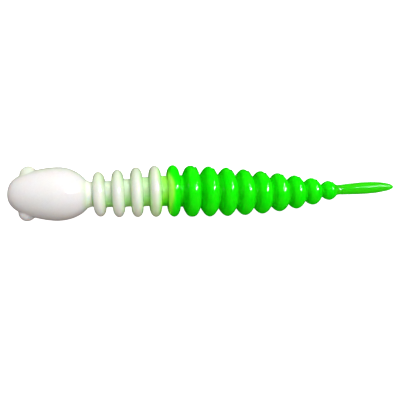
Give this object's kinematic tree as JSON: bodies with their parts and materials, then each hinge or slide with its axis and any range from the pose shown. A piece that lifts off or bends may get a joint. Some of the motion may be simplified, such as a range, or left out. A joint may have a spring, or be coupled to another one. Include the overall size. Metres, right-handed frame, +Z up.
{
  "type": "soft plastic worm lure",
  "caption": "Soft ringed fishing worm with an egg-shaped head, two side eyes, pale front and green rear shots, and a slim pin tail; it bends at each groove.",
  "frame": {"origin": "under the middle of the bounding box, on the plane that the belly rests on", "axes": "+X from the nose to the tail, +Z up out of the back of the worm, +/-Y out of the two eyes"},
  "size_m": [0.065, 0.0086, 0.0084],
  "materials": {
    "front_plastic": "soft translucent plastic, glossy, off-white",
    "tinted_plastic": "soft translucent plastic, glossy, off-white tinted green from inside",
    "rear_plastic": "soft translucent plastic, glossy, bright green"
  },
  "bodies": {
    "head": {"head": "front_plastic", "left_eye": "front_plastic", "right_eye": "front_plastic", "neck": "tinted_plastic"},
    "ring_01": {"ring_01": "front_plastic", "web_01": "tinted_plastic"},
    "ring_02": {"ring_02": "front_plastic", "web_02": "tinted_plastic"},
    "ring_03": {"ring_03": "front_plastic", "web_03": "tinted_plastic"},
    "ring_04": {"ring_04": "front_plastic", "web_04": "tinted_plastic"},
    "ring_05": {"ring_05_front": "tinted_plastic", "ring_05_rear": "rear_plastic", "web_05": "rear_plastic"},
    "ring_06": {"ring_06": "rear_plastic", "web_06": "rear_plastic"},
    "ring_07": {"ring_07": "rear_plastic", "web_07": "rear_plastic"},
    "ring_08": {"ring_08": "rear_plastic", "web_08": "rear_plastic"},
    "ring_09": {"ring_09": "rear_plastic", "web_09": "rear_plastic"},
    "ring_10": {"ring_10": "rear_plastic", "web_10": "rear_plastic"},
    "ring_11": {"ring_11": "rear_plastic", "web_11": "rear_plastic"},
    "ring_12": {"ring_12": "rear_plastic", "web_12": "rear_plastic"},
    "ring_13": {"ring_13": "rear_plastic", "web_13": "rear_plastic"},
    "ring_14": {"ring_14": "rear_plastic", "tail_root_web": "rear_plastic"},
    "tail_stem": {"tail_stem": "rear_plastic", "tail_web": "rear_plastic"},
    "tail_tip": {"tail_tip": "rear_plastic"}
  },
  "joints": [
    {"name": "neck_sideways", "type": "hinge", "parent": "head", "child": "ring_01", "pos_m": [-0.01984, 0, 0.00409], "axis": [0, 0, 1], "range_deg": [-14, 14], "stiffness_Nm_per_rad": 0.0016, "deforming": ["neck"]},
    {"name": "groove_01_up_down", "type": "hinge", "parent": "ring_01", "child": "ring_02", "pos_m": [-0.0169, 0, 0.00409], "axis": [0, 1, 0], "range_deg": [-11.5, 11.5], "stiffness_Nm_per_rad": 0.0019, "deforming": ["web_01"]},
    {"name": "groove_02_sideways", "type": "hinge", "parent": "ring_02", "child": "ring_03", "pos_m": [-0.01392, 0, 0.00409], "axis": [0, 0, 1], "range_deg": [-12, 12], "stiffness_Nm_per_rad": 0.0023, "deforming": ["web_02"]},
    {"name": "groove_03_up_down", "type": "hinge", "parent": "ring_03", "child": "ring_04", "pos_m": [-0.01093, 0, 0.00409], "axis": [0, 1, 0], "range_deg": [-12, 12], "stiffness_Nm_per_rad": 0.0028, "deforming": ["web_03"]},
    {"name": "groove_04_sideways", "type": "hinge", "parent": "ring_04", "child": "ring_05", "pos_m": [-0.00795, 0, 0.00409], "axis": [0, 0, 1], "range_deg": [-12, 12], "stiffness_Nm_per_rad": 0.0034, "deforming": ["web_04"]},
    {"name": "groove_05_up_down", "type": "hinge", "parent": "ring_05", "child": "ring_06", "pos_m": [-0.00502, 0, 0.00409], "axis": [0, 1, 0], "range_deg": [-10, 10], "stiffness_Nm_per_rad": 0.0043, "deforming": ["web_05"]},
    {"name": "groove_06_sideways", "type": "hinge", "parent": "ring_06", "child": "ring_07", "pos_m": [-0.00196, 0, 0.00409], "axis": [0, 0, 1], "range_deg": [-7, 7], "stiffness_Nm_per_rad": 0.0048, "deforming": ["web_06"]},
    {"name": "groove_07_up_down", "type": "hinge", "parent": "ring_07", "child": "ring_08", "pos_m": [0.00103, 0, 0.00409], "axis": [0, 1, 0], "range_deg": [-7, 7], "stiffness_Nm_per_rad": 0.0055, "deforming": ["web_07"]},
    {"name": "groove_08_sideways", "type": "hinge", "parent": "ring_08", "child": "ring_09", "pos_m": [0.00402, 0, 0.00409], "axis": [0, 0, 1], "range_deg": [-7, 7], "stiffness_Nm_per_rad": 0.0058, "deforming": ["web_08"]},
    {"name": "groove_09_up_down", "type": "hinge", "parent": "ring_09", "child": "ring_10", "pos_m": [0.00702, 0, 0.00409], "axis": [0, 1, 0], "range_deg": [-8, 8], "stiffness_Nm_per_rad": 0.0056, "deforming": ["web_09"]},
    {"name": "groove_10_sideways", "type": "hinge", "parent": "ring_10", "child": "ring_11", "pos_m": [0.01001, 0, 0.00409], "axis": [0, 0, 1], "range_deg": [-9, 9], "stiffness_Nm_per_rad": 0.0039, "deforming": ["web_10"]},
    {"name": "groove_11_up_down", "type": "hinge", "parent": "ring_11", "child": "ring_12", "pos_m": [0.01299, 0, 0.00409], "axis": [0, 1, 0], "range_deg": [-10, 10], "stiffness_Nm_per_rad": 0.0022, "deforming": ["web_11"]},
    {"name": "groove_12_sideways", "type": "hinge", "parent": "ring_12", "child": "ring_13", "pos_m": [0.01598, 0, 0.00409], "axis": [0, 0, 1], "range_deg": [-12, 12], "stiffness_Nm_per_rad": 0.00089, "deforming": ["web_12"]},
    {"name": "groove_13_up_down", "type": "hinge", "parent": "ring_13", "child": "ring_14", "pos_m": [0.01897, 0, 0.00409], "axis": [0, 1, 0], "range_deg": [-14, 14], "stiffness_Nm_per_rad": 0.00018, "deforming": ["web_13"]},
    {"name": "tail_root_sideways", "type": "hinge", "parent": "ring_14", "child": "tail_stem", "pos_m": [0.02199, 0, 0.00409], "axis": [0, 0, 1], "range_deg": [-22, 22], "stiffness_Nm_per_rad": 0.00007, "deforming": ["tail_root_web"]},
    {"name": "tail_middle_up_down", "type": "hinge", "parent": "tail_stem", "child": "tail_tip", "pos_m": [0.02693, 0, 0.00409], "axis": [0, 1, 0], "range_deg": [-21, 21], "stiffness_Nm_per_rad": 0.00019, "deforming": ["tail_web"]}
  ]
}
